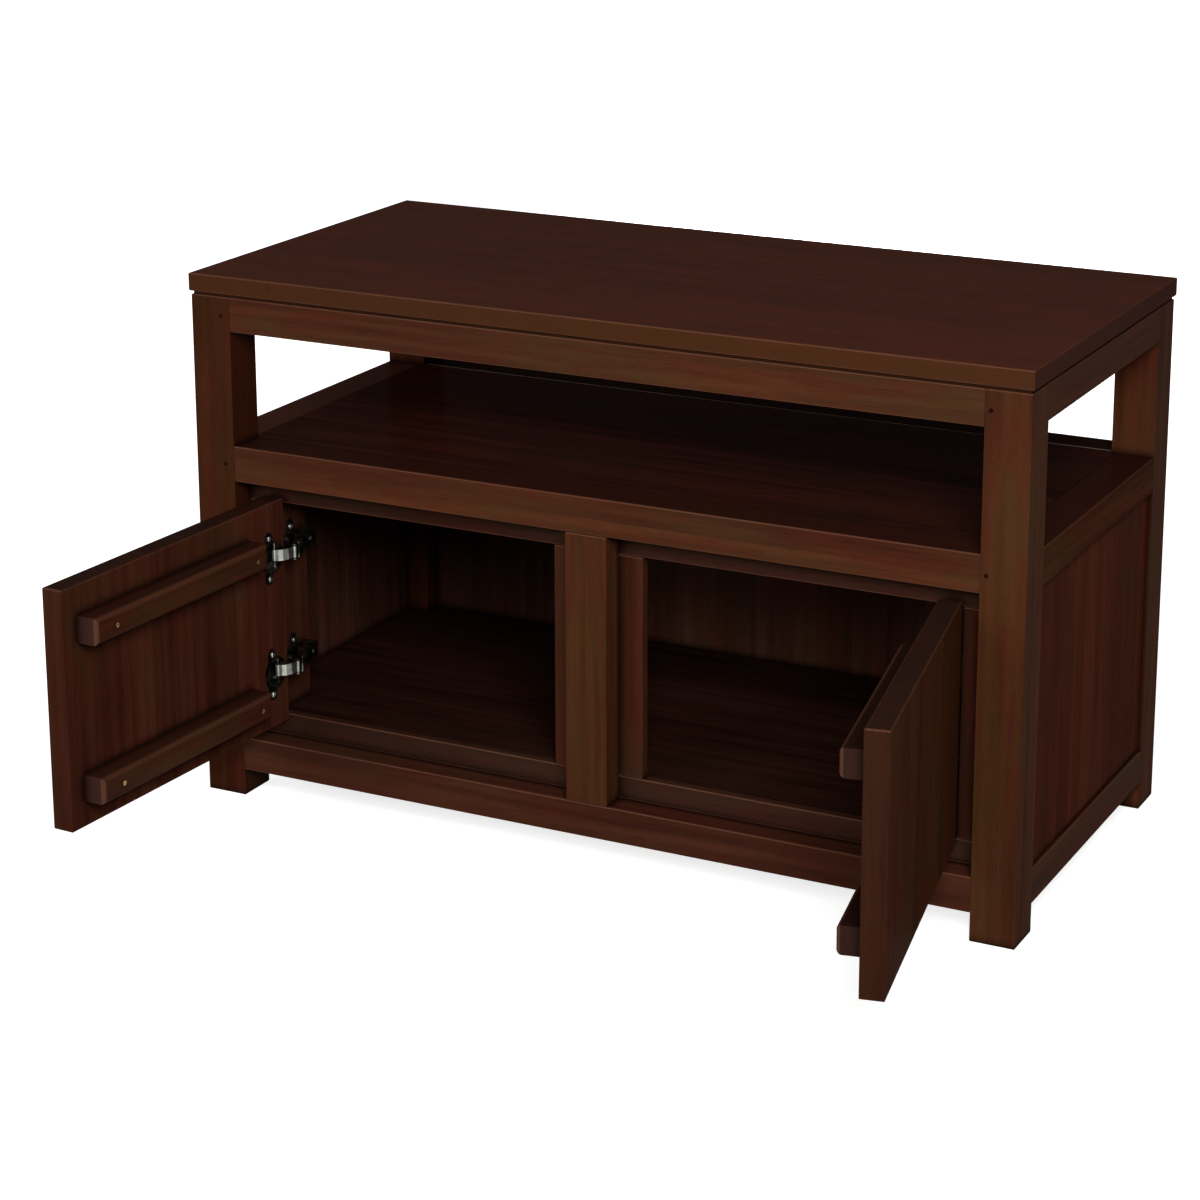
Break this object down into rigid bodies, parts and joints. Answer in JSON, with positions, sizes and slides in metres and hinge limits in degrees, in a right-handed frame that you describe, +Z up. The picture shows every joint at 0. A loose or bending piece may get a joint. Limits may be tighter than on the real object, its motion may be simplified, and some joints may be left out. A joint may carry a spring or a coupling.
{
  "type": "tv stand",
  "caption": "Low wooden TV stand with a top board, an open bay over a flush shelf, and a cupboard closed by battened doors on concealed cup hinges.",
  "frame": {"origin": "bottom centre of the bounding box with both doors open, as in the picture: on the floor, midway across", "axes": "+X to the right seen from the front, +Y back from the doors towards the back panel, +Z up"},
  "size_m": [1.004, 0.8388, 0.6213],
  "materials": {
    "frame_wood": "red-brown stain, satin varnish",
    "board_wood": "dark red-brown stain, glossy varnish",
    "panel_wood": "red-brown stain, satin varnish",
    "hinge_steel": "nickel plated steel"
  },
  "bodies": {
    "cabinet": {"leg_front_left": "frame_wood", "leg_front_right": "frame_wood", "leg_rear_left": "frame_wood", "leg_rear_right": "frame_wood", "bottom_rail_front": "frame_wood", "bottom_rail_right": "frame_wood", "bottom_rail_rear": "frame_wood", "bottom_rail_left": "frame_wood", "shelf_rail_front": "frame_wood", "shelf_rail_right": "frame_wood", "shelf_rail_rear": "frame_wood", "shelf_rail_left": "frame_wood", "top_rail_front": "frame_wood", "top_rail_right": "frame_wood", "top_rail_rear": "frame_wood", "top_rail_left": "frame_wood", "centre_stile": "frame_wood", "top_board": "board_wood", "shelf_board": "board_wood", "floor_board": "frame_wood", "side_panel_left": "panel_wood", "side_panel_right": "panel_wood", "back_panel": "panel_wood", "door_stop_bottom": "frame_wood", "door_stop_top": "frame_wood", "door_stop_left": "frame_wood", "door_stop_right": "frame_wood", "door_stop_centre": "frame_wood", "hinge_post_left": "frame_wood", "hinge_post_right": "frame_wood", "hinge_arm_lower_left": "hinge_steel", "hinge_arm_upper_left": "hinge_steel", "hinge_arm_lower_right": "hinge_steel", "hinge_arm_upper_right": "hinge_steel", "hinge_plate_lower_left": "hinge_steel", "hinge_plate_upper_left": "hinge_steel", "hinge_plate_lower_right": "hinge_steel", "hinge_plate_upper_right": "hinge_steel"},
    "left_links": {"hinge_link_lower_left": "hinge_steel", "hinge_link_upper_left": "hinge_steel"},
    "left_door": {"door_panel_left": "panel_wood", "door_batten_lower_left": "panel_wood", "door_batten_upper_left": "panel_wood", "hinge_cup_lower_left": "hinge_steel", "hinge_cup_upper_left": "hinge_steel"},
    "right_links": {"hinge_link_lower_right": "hinge_steel", "hinge_link_upper_right": "hinge_steel"},
    "right_door": {"door_panel_right": "panel_wood", "door_batten_lower_right": "panel_wood", "door_batten_upper_right": "panel_wood", "hinge_cup_lower_right": "hinge_steel", "hinge_cup_upper_right": "hinge_steel"}
  },
  "joints": [
    {"name": "left_link_swing", "type": "hinge", "parent": "cabinet", "child": "left_links", "pos_m": [-0.3927, -0.0254, 0.229], "axis": [0, 0, 1], "range_deg": [-40.3, 5.2]},
    {"name": "left_door_swing", "type": "hinge", "parent": "left_links", "child": "left_door", "pos_m": [-0.4054, -0.04784, 0.229], "axis": [0, 0, -1], "range_deg": [-133.4, 17.3]},
    {"name": "right_link_swing", "type": "hinge", "parent": "cabinet", "child": "right_links", "pos_m": [0.3927, -0.0254, 0.229], "axis": [0, 0, -1], "range_deg": [-43.76, 1.73]},
    {"name": "right_door_swing", "type": "hinge", "parent": "right_links", "child": "right_door", "pos_m": [0.40402, -0.04857, 0.229], "axis": [0, 0, 1], "range_deg": [-144.9, 5.8]}
  ],
  "couplings": [
    {"joint": "left_door_swing", "follows": "left_link_swing", "ratio": 3.3079},
    {"joint": "right_door_swing", "follows": "right_link_swing", "ratio": 3.3079}
  ]
}
